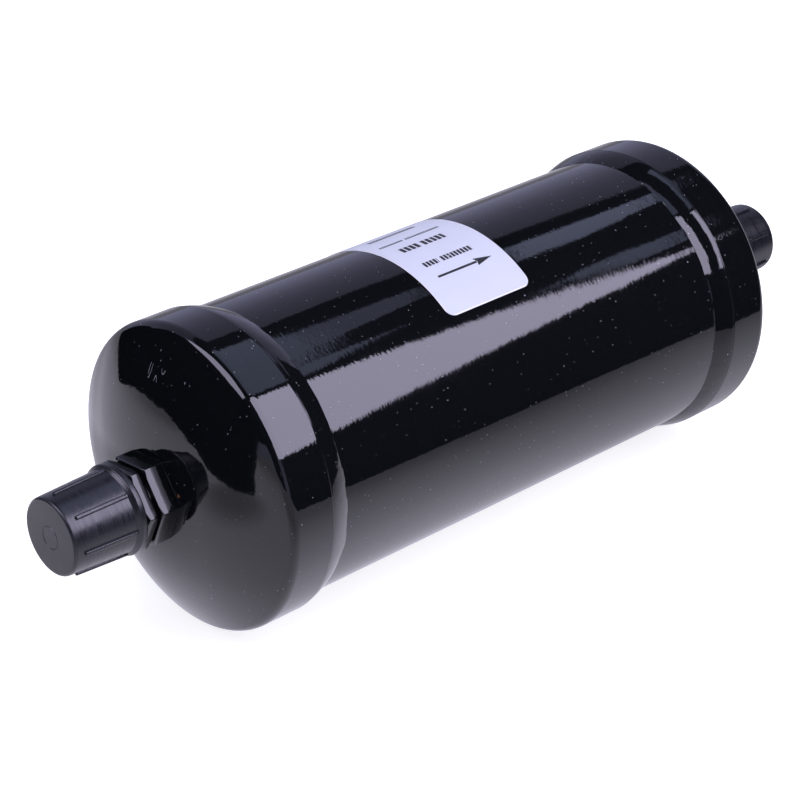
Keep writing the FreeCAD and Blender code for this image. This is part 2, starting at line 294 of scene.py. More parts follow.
class Graph:
    """A node tree with short calls for the nodes that the finishes use."""

    def __init__(self, tree: bpy.types.NodeTree) -> None:
        """Start with an empty tree.

        Args:
            tree: the node tree to fill.
        """
        self.tree = tree
        tree.nodes.clear()

    def node(self, kind: str, **settings: object) -> bpy.types.Node:
        """Add a node.

        Args:
            kind: the node's type name.
            settings: its properties.

        Returns:
            The node.
        """
        node = self.tree.nodes.new(kind)
        for name, value in settings.items():
            setattr(node, name, value)
        return node

    def put(self, socket: Socket, value: object) -> None:
        """Link an output to an input socket, or set the input's own value.

        Args:
            socket: the input.
            value: an output socket, or a value of the input's kind.
        """
        if isinstance(value, Socket):
            self.tree.links.new(value, socket)
        else:
            socket.default_value = value

    def feed(self, node: bpy.types.Node, **inputs: object) -> bpy.types.Node:
        """Set or link a node's inputs by name.

        Args:
            node: the node.
            inputs: a value or an output socket for each input, with _ for a space.

        Returns:
            The same node.
        """
        for name, value in inputs.items():
            self.put(node.inputs[name.replace("_", " ")], value)
        return node

    def math(self, operation: str, *values: object, clamp: bool = False) -> Socket:
        """Add a math node.

        Args:
            operation: the operation's name.
            values: numbers or sockets.
            clamp: whether the result is held between 0 and 1.

        Returns:
            The result's socket.
        """
        node = self.node("ShaderNodeMath", operation=operation, use_clamp=clamp)
        for socket, value in zip(node.inputs, values):
            self.put(socket, value)
        return node.outputs[0]

    def ramp(self, value: Socket, low: float, high: float,
             start: float = 0.0, stop: float = 1.0) -> Socket:
        """Map a value smoothly from one range to another.

        Args:
            value: the socket to map.
            low: the value that gives start.
            high: the value that gives stop.
            start: the result at low.
            stop: the result at high.

        Returns:
            The mapped value's socket.
        """
        node = self.node("ShaderNodeMapRange", interpolation_type="SMOOTHSTEP")
        self.feed(node, Value=value, From_Min=low, From_Max=high, To_Min=start, To_Max=stop)
        return node.outputs["Result"]

    def mix(self, share: object, first: object, second: object) -> Socket:
        """Mix two colours.

        Args:
            share: how much of the second, a number or a socket.
            first: a colour or a socket.
            second: a colour or a socket.

        Returns:
            The mixed colour's socket.
        """
        node = self.node("ShaderNodeMix", data_type="RGBA")
        for index, value in ((0, share), (6, first), (7, second)):
            self.put(node.inputs[index], value)
        return node.outputs[2]

    def place(self) -> Socket:
        """Return the Object coordinate's socket."""
        return self.node("ShaderNodeTexCoord").outputs["Object"]

    def split(self, vector: Socket) -> tuple[Socket, ...]:
        """Split a vector.

        Args:
            vector: the vector's socket.

        Returns:
            The sockets of its three parts.
        """
        return tuple(self.feed(self.node("ShaderNodeSeparateXYZ"), Vector=vector).outputs)

    def scaled(self, vector: Socket, factors: Point) -> Socket:
        """Scale a vector's parts.

        Args:
            vector: the vector's socket.
            factors: a factor for each part.

        Returns:
            The scaled vector's socket.
        """
        node = self.node("ShaderNodeVectorMath", operation="MULTIPLY")
        self.put(node.inputs[0], vector)
        self.put(node.inputs[1], factors)
        return node.outputs[0]

    def noise(self, vector: Socket, scale: object, detail: float = 2.0,
              roughness: float = 0.5) -> Socket:
        """Add a noise texture.

        Args:
            vector: where it is read.
            scale: its scale, a number or a socket.
            detail: its octaves.
            roughness: how strong the finer octaves are.

        Returns:
            The factor's socket.
        """
        node = self.node("ShaderNodeTexNoise")
        self.feed(node, Vector=vector, Scale=scale, Detail=detail, Roughness=roughness)
        return node.outputs["Fac"]

    def bump(self, height: Socket, strength: float, distance: float) -> Socket:
        """Turn a height into a bumped normal.

        Args:
            height: the height's socket.
            strength: how much of the bump shows.
            distance: how deep a height of 1 is, in metres.

        Returns:
            The normal's socket.
        """
        node = self.node("ShaderNodeBump")
        return self.feed(node, Height=height, Strength=strength, Distance=distance).outputs[0]

    def finish(self, shader: bpy.types.Node, output: str = "ShaderNodeOutputMaterial") -> None:
        """Link a shader to the tree's output.

        Args:
            shader: the shader's node.
            output: the type of the output node.
        """
        self.feed(self.node(output), Surface=shader.outputs[0])

    def group(self, tree: bpy.types.NodeTree, **inputs: object) -> bpy.types.Node:
        """Place a shader node group with its own values.

        Args:
            tree: the group.
            inputs: its inputs.

        Returns:
            The group's node.
        """
        return self.feed(self.node("ShaderNodeGroup", node_tree=tree), **inputs)


def new_group(name: str, output: str, **inputs: float) -> tuple[Graph, bpy.types.Node, bpy.types.Node]:
    """Make an empty shader node group, which is read at the vector that is fed in.

    Args:
        name: the group's name.
        output: the name of its one output.
        inputs: the names of its number inputs, with their values.

    Returns:
        The group's graph, its input node and its output node.
    """
    tree = bpy.data.node_groups.new(name, "ShaderNodeTree")
    graph = Graph(tree)
    tree.interface.new_socket(name="Vector", in_out="INPUT", socket_type="NodeSocketVector")
    for label, value in inputs.items():
        socket = tree.interface.new_socket(name=label, in_out="INPUT", socket_type="NodeSocketFloat")
        socket.default_value = value
    tree.interface.new_socket(name=output, in_out="OUTPUT", socket_type="NodeSocketFloat")
    return graph, graph.node("NodeGroupInput"), graph.node("NodeGroupOutput")


class Effects:
    """The surface effects that several finishes share, each a node group built once."""

    def __init__(self) -> None:
        """Build every group."""
        self.ripple = self._ripple()
        self.specks = self._specks()
        self.scuffs = self._scuffs()
        self.grain = self._grain()

    def _ripple(self) -> bpy.types.NodeTree:
        """Build the height of sprayed paint: orange peel, a slow wave and marks that run round the shell.

        Returns:
            The group.
        """
        graph, source, sink = new_group("paint_ripple", "Height", Peel=1.0, Wave=1.0, Marks=1.0)
        place = source.outputs["Vector"]
        fine = graph.noise(place, 520.0, 1.5, 0.45)
        coarse = graph.noise(place, 150.0, 1.0, 0.5)
        slow = graph.noise(place, 34.0, 1.0, 0.4)
        drawn = graph.noise(graph.scaled(place, (1.0, 0.33, 0.33)), 1500.0, 2.0, 0.5)
        orange_peel = graph.math("ADD", graph.math("MULTIPLY", fine, 0.3), coarse)
        peel = graph.math("MULTIPLY", orange_peel, source.outputs["Peel"])
        wave = graph.math("MULTIPLY", slow, source.outputs["Wave"])
        marks = graph.math("MULTIPLY", drawn, source.outputs["Marks"])
        graph.feed(sink, Height=graph.math("ADD", graph.math("ADD", peel, wave), marks))
        return graph.tree

    def _specks(self) -> bpy.types.NodeTree:
        """Build a mask of scattered dust specks of uneven size.

        Returns:
            The group.
        """
        graph, source, sink = new_group("dust_specks", "Mask", Spacing=300.0, Size=0.1, Share=0.1)
        cells = graph.node("ShaderNodeTexVoronoi", feature="F1")
        graph.feed(cells, Vector=source.outputs["Vector"], Scale=source.outputs["Spacing"], Randomness=1.0)
        chance = graph.split(cells.outputs["Color"])
        size = graph.math("MULTIPLY", source.outputs["Size"], graph.math("ADD", chance[1], 0.35))
        near = graph.math("LESS_THAN", cells.outputs["Distance"], size)
        chosen = graph.math("LESS_THAN", chance[0], source.outputs["Share"])
        graph.feed(sink, Mask=graph.math("MULTIPLY", near, chosen))
        return graph.tree

    def _scuffs(self) -> bpy.types.NodeTree:
        """Build a mask of sparse hair scratches, as thin contour lines of a stretched noise.

        Returns:
            The group.
        """
        graph, source, sink = new_group("fine_scuffs", "Mask", Share=0.6)
        place = source.outputs["Vector"]
        swirl = graph.noise(graph.scaled(place, (0.2, 1.0, 0.3)), 620.0, 0.0)
        thin = graph.math("LESS_THAN", graph.math("ABSOLUTE", graph.math("SUBTRACT", swirl, 0.5)), 0.02)
        chosen = graph.math("GREATER_THAN", graph.noise(place, 900.0, 1.0), source.outputs["Share"])
        graph.feed(sink, Mask=graph.math("MULTIPLY", thin, chosen))
        return graph.tree

    def _grain(self) -> bpy.types.NodeTree:
        """Build the height of fine grain, stretched by the vector that is fed in.

        Returns:
            The group.
        """
        graph, source, sink = new_group("fine_grain", "Height", Scale=400.0)
        height = graph.noise(source.outputs["Vector"], source.outputs["Scale"], 3.0, 0.6)
        graph.feed(sink, Height=height)
        return graph.tree


def new_material(name: str) -> tuple[bpy.types.Material, Graph, bpy.types.Node]:
    """Make a material with a Principled shader on its output.

    Args:
        name: the material's name.

    Returns:
        The material, its graph and its shader.
    """
    material = bpy.data.materials.new(name)
    material.use_nodes = True
    graph = Graph(material.node_tree)
    shader = graph.node("ShaderNodeBsdfPrincipled")
    graph.finish(shader)
    return material, graph, shader


def toned(colour: Colour, share: float) -> Colour:
    """Return a colour that is darker or lighter by a factor.

    Args:
        colour: the colour.
        share: the factor of each channel.

    Returns:
        The scaled colour, opaque.
    """
    return tuple(channel * share for channel in colour[:3]) + (1.0,)


@dataclass(frozen=True)
class SpeckField:
    """Scattered specks: their cells to the metre, their size in a cell, and the share of cells with one."""

    spacing: float
    size: float
    share: float

    def mask(self, graph: Graph, effects: Effects, place: Socket) -> Socket:
        """Return the specks' mask.

        Args:
            graph: the material's graph.
            effects: the shared groups.
            place: where the specks are read.

        Returns:
            The mask's socket.
        """
        node = graph.group(effects.specks, Vector=place, Spacing=self.spacing, Size=self.size,
                           Share=self.share)
        return node.outputs["Mask"]


# Finishes


@dataclass(frozen=True)
class GlossPaint:
    """Glossy black enamel, sprayed and stoved, with orange peel, dust and handling marks."""

    colour: Colour = (0.0050, 0.0056, 0.0066, 1.0)
    speck_colour: Colour = (0.52, 0.52, 0.57, 1.0)
    rust_colour: Colour = (0.16, 0.06, 0.02, 1.0)
    rust_place: Point = (-95.0 * MM, -10.9 * MM, 4.1 * MM)
    rust_radius: float = 0.55 * MM
    roughness: float = 0.035
    ior: float = 1.5
    peel: float = 1.0
    wave: float = 2.4
    marks: float = 0.50
    ripple_depth: float = 0.022 * MM
    dust: SpeckField = SpeckField(720.0, 0.058, 0.80)
    flecks: SpeckField = SpeckField(330.0, 0.036, 0.35)
    scratch_share: float = 0.40
    scratch_place: Point = (-89.5 * MM, 2.6 * MM, 29.6 * MM)
    scratch_reach: Point = (4.0 * MM, 3.2 * MM, 1.7 * MM)

    def build(self, effects: Effects, name: str) -> bpy.types.Material:
        """Build the material.

        Args:
            effects: the shared groups.
            name: the material's name.

        Returns:
            The material.
        """
        material, graph, shader = new_material(name)
        place = graph.place()
        dust = self.dust.mask(graph, effects, place)
        specks = graph.math("MAXIMUM", dust, self.flecks.mask(graph, effects, place))
        scratches = graph.math("MULTIPLY", self._scratches(graph, effects, place), 0.5)
        marks = graph.math("MAXIMUM", specks, scratches)
        rust = self._rust(graph, place)
        colour = graph.mix(rust, graph.mix(marks, self.colour, self.speck_colour), self.rust_colour)
        haze = graph.ramp(graph.noise(place, 45.0, 3.0), 0.35, 0.75, self.roughness, self.roughness + 0.025)
        rough = graph.math("ADD", haze, graph.math("MULTIPLY", graph.math("MAXIMUM", marks, rust), 0.45))
        ripple = graph.group(effects.ripple, Vector=place, Peel=self.peel, Wave=self.wave, Marks=self.marks)
        normal = graph.bump(ripple.outputs["Height"], 1.0, self.ripple_depth)
        graph.feed(shader, Base_Color=colour, Roughness=rough, Normal=normal, IOR=self.ior)
        return material

    def _scratches(self, graph: Graph, effects: Effects, place: Socket) -> Socket:
        """Make the mask of the few hair scratches high on the inlet's dome.

        Args:
            graph: the material's graph.
            effects: the shared groups.
            place: where the scratches are read.

        Returns:
            The mask's socket.
        """
        mask = graph.group(effects.scuffs, Vector=place, Share=self.scratch_share).outputs["Mask"]
        for part, middle, reach in zip(graph.split(place), self.scratch_place, self.scratch_reach):
            off = graph.math("ABSOLUTE", graph.math("SUBTRACT", part, middle))
            mask = graph.math("MULTIPLY", mask, graph.math("LESS_THAN", off, reach))
        return mask

    def _rust(self, graph: Graph, place: Socket) -> Socket:
        """Make the mask of the one small rust spot, where the inlet fitting meets its end.

        Args:
            graph: the material's graph.
            place: where the spot is read.

        Returns:
            The mask's socket.
        """
        offset = graph.node("ShaderNodeVectorMath", operation="DISTANCE")
        graph.put(offset.inputs[0], place)
        graph.put(offset.inputs[1], self.rust_place)
        least, most = self.rust_radius * 0.5, self.rust_radius * 1.3
        ragged = graph.ramp(graph.noise(place, 1800.0, 2.0), 0.3, 0.7, least, most)
        return graph.math("LESS_THAN", offset.outputs["Value"], ragged)


@dataclass(frozen=True)
class MouldedPlastic:
    """Satin slate plastic of the thread caps, with fine turning marks from the mould."""

    colour: Colour = (0.0105, 0.0110, 0.0150, 1.0)
    roughness: float = 0.28
    speck_colour: Colour = (0.05, 0.05, 0.06, 1.0)
    specks: SpeckField = SpeckField(600.0, 0.16, 0.06)
    grain_depth: float = 0.06 * MM

    def build(self, effects: Effects, name: str) -> bpy.types.Material:
        """Build the material.

        Args:
            effects: the shared groups.
            name: the material's name.

        Returns:
            The material.
        """
        material, graph, shader = new_material(name)
        place = graph.place()
        x, y, z = graph.split(place)
        angle = graph.math("ARCTAN2", z, y)
        along = graph.node("ShaderNodeCombineXYZ")
        graph.feed(along, X=graph.math("MULTIPLY", x, 5.0), Y=graph.math("MULTIPLY", angle, 0.002))
        rings = graph.group(effects.grain, Vector=along.outputs[0], Scale=330.0).outputs["Height"]
        grain = graph.group(effects.grain, Vector=place, Scale=1500.0).outputs["Height"]
        specks = graph.math("MULTIPLY", self.specks.mask(graph, effects, place), 0.5)
        cloud = graph.ramp(graph.noise(place, 120.0, 3.0), 0.3, 0.7)
        tone = graph.mix(cloud, self.colour, toned(self.colour, 1.25))
        colour = graph.mix(specks, tone, self.speck_colour)
        height = graph.math("ADD", rings, graph.math("MULTIPLY", grain, 0.35))
        rough = graph.ramp(rings, 0.3, 0.7, self.roughness - 0.05, self.roughness + 0.08)
        normal = graph.bump(height, 0.6, self.grain_depth)
        graph.feed(shader, Base_Color=colour, Roughness=rough, Normal=normal, IOR=1.49)
        return material


@dataclass(frozen=True)
class PrintRow:
    """A row of small blocks, where the label has a line of print. Lengths are metres on the flat label."""

    first: float
    last: float
    level: float
    half_height: float
    pitch: float
    filled: float = 0.72

    def mask(self, graph: Graph, u: Socket, v: Socket) -> Socket:
        """Return the mask of the row.

        Args:
            graph: the material's graph.
            u: the flat coordinate along the drier.
            v: the flat coordinate round the drier.

        Returns:
            The mask's socket.
        """
        middle, half_length = (self.first + self.last) / 2, (self.last - self.first) / 2
        row = flat_box(graph, u, v, middle, self.level, half_length, self.half_height)
        step = graph.math("FRACT", graph.math("DIVIDE", graph.math("SUBTRACT", u, self.first), self.pitch))
        return graph.math("MULTIPLY", row, graph.math("LESS_THAN", step, self.filled))


@dataclass(frozen=True)
class FlowArrow:
    """The flow arrow: a shaft with a slim, slightly swept head. Lengths are metres on the flat label."""

    tail: float = 5.7 * MM
    tip: float = 24.3 * MM
    level: float = 0.2 * MM
    head_length: float = 5.7 * MM
    half_head: float = 1.3 * MM
    half_shaft: float = 0.36 * MM
    sweep: float = 0.7 * MM

    def mask(self, graph: Graph, u: Socket, v: Socket) -> Socket:
        """Return the mask of the arrow.

        Args:
            graph: the material's graph.
            u: the flat coordinate along the drier.
            v: the flat coordinate round the drier.

        Returns:
            The mask's socket.
        """
        neck = self.tip - self.head_length + self.sweep
        middle, half_length = (self.tail + neck) / 2, (neck - self.tail) / 2
        shaft = flat_box(graph, u, v, middle, self.level, half_length, self.half_shaft)
        back = graph.math("SUBTRACT", self.tip, u)
        off = graph.math("ABSOLUTE", graph.math("SUBTRACT", v, self.level))
        inside = graph.math("LESS_THAN", off, graph.math("MULTIPLY", back, self.half_head / self.head_length))
        rear = graph.math("MULTIPLY_ADD", off, self.sweep / self.half_head, self.head_length - self.sweep)
        head = graph.math("MULTIPLY", inside, graph.math("LESS_THAN", back, rear))
        return graph.math("MAXIMUM", shaft, head)


def flat_box(graph: Graph, u: Socket, v: Socket, centre_u: float, centre_v: float,
             half_u: float, half_v: float) -> Socket:
    """Return the mask of one upright rectangle on the flat label.

    Args:
        graph: the material's graph.
        u: the flat coordinate along the drier.
        v: the flat coordinate round the drier.
        centre_u: the rectangle's middle.
        centre_v: the rectangle's middle.
        half_u: half its length.
        half_v: half its height.

    Returns:
        The mask's socket.
    """
    sides = []
    for part, centre, half in ((u, centre_u, half_u), (v, centre_v, half_v)):
        off = graph.math("ABSOLUTE", graph.math("SUBTRACT", part, centre))
        sides.append(graph.math("LESS_THAN", off, half))
    return graph.math("MULTIPLY", *sides)


@dataclass(frozen=True)
class PrintedFilm:
    """Pale film of the label with generic dark print: rows of blocks in place of text, and a flow arrow.

    The print is drawn in the label's own flat coordinates: u runs along the drier from the label's near
    edge, and v round it towards the camera's side, from the arrow. A thin painted highlight runs along the
    lower and near edges, where the film's cut edge catches the light.
    """

    rows: tuple[PrintRow, ...]
    arrow: FlowArrow = FlowArrow()
    paper: Colour = (0.74, 0.765, 0.86, 1.0)
    # colour of the painted highlight along the label's lower and near edges
    edge_highlight_colour: Colour = (0.96, 0.96, 0.97, 1.0)
    ink: Colour = (0.012, 0.012, 0.016, 1.0)
    lower_edge: float = 11.6 * MM
    near_edge: float = 0.15 * MM
    roughness: float = 0.42
    ink_roughness: float = 0.5
    grain_depth: float = 0.02 * MM

    def build(self, effects: Effects, name: str) -> bpy.types.Material:
        """Build the material.

        Args:
            effects: the shared groups.
            name: the material's name.

        Returns:
            The material.
        """
        material, graph, shader = new_material(name)
        u, v, _ = graph.split(graph.node("ShaderNodeUVMap", uv_map="flat").outputs[0])
        ink = self.arrow.mask(graph, u, v)
        for row in self.rows:
            ink = graph.math("MAXIMUM", ink, row.mask(graph, u, v))
        place = graph.place()
        wear = graph.ramp(graph.noise(place, 900.0, 3.0), 0.22, 0.34)
        print_mask = graph.math("MULTIPLY", ink, wear, clamp=True)
        # painted highlight: a thin near-white band along the lower and near edges, where the film's cut edge
        # catches the light
        low, near = graph.math("GREATER_THAN", v, self.lower_edge), graph.math("LESS_THAN", u, self.near_edge)
        cut = graph.math("MAXIMUM", low, near)
        cloud = graph.ramp(graph.noise(place, 60.0, 2.0), 0.3, 0.7)
        tint = graph.mix(cloud, self.paper, toned(self.paper, 0.97))
        colour = graph.mix(print_mask, graph.mix(cut, tint, self.edge_highlight_colour), self.ink)
        height = graph.group(effects.grain, Vector=place, Scale=700.0).outputs["Height"]
        rough = graph.ramp(print_mask, 0.0, 1.0, self.roughness, self.ink_roughness)
        normal = graph.bump(height, 0.25, self.grain_depth)
        graph.feed(shader, Base_Color=colour, Roughness=rough, Normal=normal, IOR=1.4)
        return material


@dataclass(frozen=True)
class PlainMetal:
    """Bare or plated metal with a fine grain, for the pieces inside and the fillers."""

    colour: Colour
    roughness: float = 0.32
    grain_scale: float = 600.0
    grain_depth: float = 0.03 * MM

    def build(self, effects: Effects, name: str) -> bpy.types.Material:
        """Build the material.

        Args:
            effects: the shared groups.
            name: the material's name.

        Returns:
            The material.
        """
        material, graph, shader = new_material(name)
        place = graph.place()
        grain = graph.group(effects.grain, Vector=place, Scale=self.grain_scale).outputs["Height"]
        least, most = self.roughness - 0.05, self.roughness + 0.1
        dull = graph.ramp(graph.noise(place, 90.0, 3.0), 0.3, 0.7, least, most)
        cloud = graph.ramp(graph.noise(place, 60.0, 2.0), 0.35, 0.7)
        colour = graph.mix(cloud, self.colour, toned(self.colour, 0.8))
        normal = graph.bump(grain, 0.3, self.grain_depth)
        graph.feed(shader, Base_Color=colour, Roughness=dull, Normal=normal, Metallic=1.0)
        return material


@dataclass(frozen=True)
class MattedFill:
    """Matt fibre, felt or moulded bead mass inside the shell."""

    colour: Colour
    cell_scale: float = 500.0
    depth: float = 0.4 * MM

    def build(self, effects: Effects, name: str) -> bpy.types.Material:
        """Build the material.

        Args:
            effects: the shared groups.
            name: the material's name.

        Returns:
            The material.
        """
        material, graph, shader = new_material(name)
        place = graph.place()
        cells = graph.node("ShaderNodeTexVoronoi", feature="F1")
        graph.feed(cells, Vector=place, Scale=self.cell_scale)
        fibre = graph.group(effects.grain, Vector=place, Scale=self.cell_scale * 1.7).outputs["Height"]
        height = graph.math("SUBTRACT", fibre, cells.outputs["Distance"])
        # painted shade: the colour darkens in the hollows between the cells, where the bump is lowest
        hollow_shade = graph.ramp(cells.outputs["Distance"], 0.2, 0.8)
        colour = graph.mix(hollow_shade, self.colour, toned(self.colour, 0.7))
        graph.feed(shader, Base_Color=colour, Roughness=0.9, Normal=graph.bump(height, 0.8, self.depth))
        return material


@dataclass
class FinishSet:
    """Every finish of the drier, built once and looked up by the record's slot."""

    effects: Effects
    by_slot: dict[str, bpy.types.Material] = field(default_factory=dict)

    def __post_init__(self) -> None:
        """Build the finishes."""
        self.by_slot = {
            "black_paint": GlossPaint().build(self.effects, "black_paint"),
            "cap_plastic": MouldedPlastic().build(self.effects, "cap_plastic"),
            "label_film": PrintedFilm(LABEL_ROWS).build(self.effects, "label_film"),
            "braze": PlainMetal((0.62, 0.42, 0.16, 1.0)).build(self.effects, "braze"),
            "spring_steel": PlainMetal((0.42, 0.43, 0.45, 1.0)).build(self.effects, "spring_steel"),
            "plate_steel": PlainMetal((0.60, 0.61, 0.63, 1.0), 0.28).build(self.effects, "plate_steel"),
            "glass_fibre": MattedFill((0.78, 0.79, 0.72, 1.0), 900.0).build(self.effects, "glass_fibre"),
            "felt": MattedFill((0.52, 0.48, 0.40, 1.0), 1300.0, 0.2 * MM).build(self.effects, "felt"),
            "desiccant": MattedFill((0.62, 0.56, 0.46, 1.0), 420.0).build(self.effects, "desiccant"),
        }

    def dress(self, piece: Piece, slot: str) -> None:
        """Give a piece one finish all over.

        Args:
            piece: the mesh object.
            slot: the record's material slot.
        """
        piece.data.materials.clear()
        piece.data.materials.append(self.by_slot[slot])


# Rows of blocks where such a label has its lines of print, from the top down
LABEL_ROWS: tuple[PrintRow, ...] = (
    PrintRow(5.8 * MM, 21.6 * MM, -26.4 * MM, 0.9 * MM, 1.0 * MM, 0.78),
    PrintRow(3.2 * MM, 11.2 * MM, -19.1 * MM, 0.48 * MM, 0.8 * MM, 0.78),
    PrintRow(12.0 * MM, 23.6 * MM, -19.1 * MM, 0.48 * MM, 0.8 * MM, 0.78),
    PrintRow(5.7 * MM, 12.0 * MM, -13.7 * MM, 1.25 * MM, 1.6 * MM),
    PrintRow(13.0 * MM, 20.4 * MM, -13.7 * MM, 1.25 * MM, 1.6 * MM),
    PrintRow(5.5 * MM, 10.3 * MM, -5.0 * MM, 0.95 * MM, 1.15 * MM),
    PrintRow(11.5 * MM, 21.9 * MM, -5.0 * MM, 0.95 * MM, 1.15 * MM),
)


# The drier's sub-assemblies


@dataclass
class Shell:
    """The tube, the two pressed ends and the welds between them.

    A weld's toe wanders and frays in and out, and its face has ripples and a share of the toe's swell.
    """

    tube_radius: float = TUBE_RADIUS
    tube_bore_radius: float = 36.1 * MM
    tube_end: float = 80.65 * MM
    skirt_bore_radius: float = 38.2 * MM
    skirt_radius: float = 40.1 * MM
    skirt_edge: float = 71.4 * MM
    end_wall: float = END_WALL
    knuckle_radius: float = 3.0 * MM
    crown_radius: float = 73.0 * MM
    seat: float = FITTING_SEAT
    seat_radius: float = 11.697 * MM
    hole_radius: float = 6.4 * MM
    weld_toe: float = 65.7 * MM
    weld_drop: float = 0.1 * MM
    weld_bulge: float = 0.2 * MM
    weld_tuck: float = 0.1 * MM
    weld_wander: float = 0.22 * MM
    weld_fray: float = 0.09 * MM
    weld_ripple: float = 0.02 * MM
    weld_swell: float = 0.08
    rim: float = 0.35 * MM
    skirt_rings: tuple[float, ...] = (0.06, 0.3, 0.6, 0.85, 0.98)
    steps: int = 256
    weld_steps: int = 512

    def build(self, finishes: FinishSet) -> None:
        """Build and place every piece of the shell.

        Args:
            finishes: the drier's finishes.
        """
        self._seat(self.tube(), "shell_tube", finishes)
        for end in End:
            self._seat(self.pressed_end(end), f"{end.node_prefix}_end", finishes)
            self._seat(self.weld(end), f"{end.node_prefix}_seam_weld", finishes)

    def _seat(self, piece: Piece, node: str, finishes: FinishSet) -> None:
        """Dress a painted piece and let it stand for its node.

        Args:
            piece: the mesh object.
            node: the node that it replaces.
            finishes: the drier's finishes.
        """
        finishes.dress(piece, "black_paint")
        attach(piece, "drier")
        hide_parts(node)
        LOG.info("%s: %d faces", piece.name, len(piece.data.polygons))

    def tube(self) -> Piece:
        """Turn the straight tube with its bore.

        Returns:
            The tube.
        """
        inner, outer, reach = self.tube_bore_radius, self.tube_radius, self.tube_end
        spans = 12
        stations = [reach * (2 * step / spans - 1) for step in range(spans + 1)]
        profile = [(x, outer) for x in stations] + [(reach, inner), (-reach, inner)]
        piece = turn_profile("shell_tube_painted", profile, self.steps)
        smooth(piece, 40)
        return piece

    def pressed_end(self, end: End) -> Piece:
        """Turn a pressed end: skirt, knuckle, shallow crown and the fitting's seat.

        Args:
            end: which end it closes.

        Returns:
            The pressed end.
        """
        crown_x = self.seat - math.sqrt(self.crown_radius ** 2 - self.seat_radius ** 2)
        knuckle_r = self.skirt_radius - self.knuckle_radius
        knuckle_x = crown_x + math.sqrt((self.crown_radius - self.knuckle_radius) ** 2 - knuckle_r ** 2)
        crown_start = math.degrees(math.atan2(knuckle_r, knuckle_x - crown_x))
        seat_angle = math.degrees(math.asin(self.seat_radius / self.crown_radius))
        inner_seat = self.seat - self.end_wall
        inner_crown = self.crown_radius - self.end_wall
        inner_angle = math.degrees(math.acos((inner_seat - crown_x) / inner_crown))
        skirt = knuckle_x - self.skirt_edge
        profile = arc((self.skirt_edge + self.rim, self.skirt_radius - self.rim), self.rim, 180, 90, 4)
        profile += [(self.skirt_edge + skirt * share, self.skirt_radius) for share in self.skirt_rings]
        profile += arc((knuckle_x, knuckle_r), self.knuckle_radius, 90, crown_start, 16)
        profile += arc((crown_x, 0), self.crown_radius, crown_start, seat_angle, 22)[1:]
        profile += [(self.seat, self.hole_radius), (inner_seat, self.hole_radius)]
        profile += arc((crown_x, 0), inner_crown, inner_angle, crown_start, 8)
        profile += [(knuckle_x, self.skirt_bore_radius), (self.skirt_edge, self.skirt_bore_radius)]
        piece = turn_profile(f"{end.node_prefix}_end_painted", profile, self.steps)
        face_outlet(piece, end)
        smooth(piece, 35)
        return piece

    def weld(self, end: End) -> Piece:
        """Build the fillet weld and give it the bead's ripples and an uneven toe.

        Args:
            end: which seam it closes.

        Returns:
            The weld.
        """
        face_steps = 14
        crown = self.skirt_radius - self.weld_drop
        run = self.skirt_edge - self.weld_toe
        foot = self.tube_radius - self.weld_tuck
        profile: Profile = []
        for step in range(face_steps + 1):
            share = step / face_steps
            bulge = self.weld_bulge * 4 * share * (1 - share)
            level = self.tube_radius + (crown - self.tube_radius) * share
            profile.append((self.weld_toe + run * share, level + bulge))
        tuck = self.skirt_edge + 0.25 * MM
        profile += [(tuck, crown), (tuck, foot), (self.weld_toe, foot)]
        piece = turn_profile(f"{end.node_prefix}_weld_painted", profile, self.weld_steps)
        self._ripple_weld(piece, 3.0 if end is End.INLET else 11.0)
        face_outlet(piece, end)
        smooth(piece, 60)
        return piece

    def _ripple_weld(self, piece: Piece, seed: float) -> None:
        """Move the face of a weld in and out, most at its toe.

        Args:
            piece: the weld, drawn at the outlet.
            seed: where the noise is read, so that the two welds differ.
        """
        for vertex in piece.data.vertices:
            x, y, z = vertex.co
            radius = math.hypot(y, z)
            share = min(1.0, max(0.0, (x - self.weld_toe) / (self.skirt_edge - self.weld_toe)))
            if radius > self.tube_radius - self.weld_tuck / 2 and share < 1.0:
                angle = math.atan2(z, y)
                round_it = Vector((math.cos(angle), math.sin(angle), 0.0))
                reading = round_it * 6 + Vector((0.0, 0.0, seed))
                ragged = noise.noise(reading) * self.weld_wander + noise.noise(reading * 4.0) * self.weld_fray
                ripple = noise.noise(round_it * 22 + Vector((0.0, 0.0, seed + share * 3)))
                vertex.co.x += ragged * (1 - share)
                swell = math.sin(math.pi * share) * (self.weld_ripple * ripple + self.weld_swell * ragged)
                vertex.co.y *= (radius + swell) / radius
                vertex.co.z *= (radius + swell) / radius


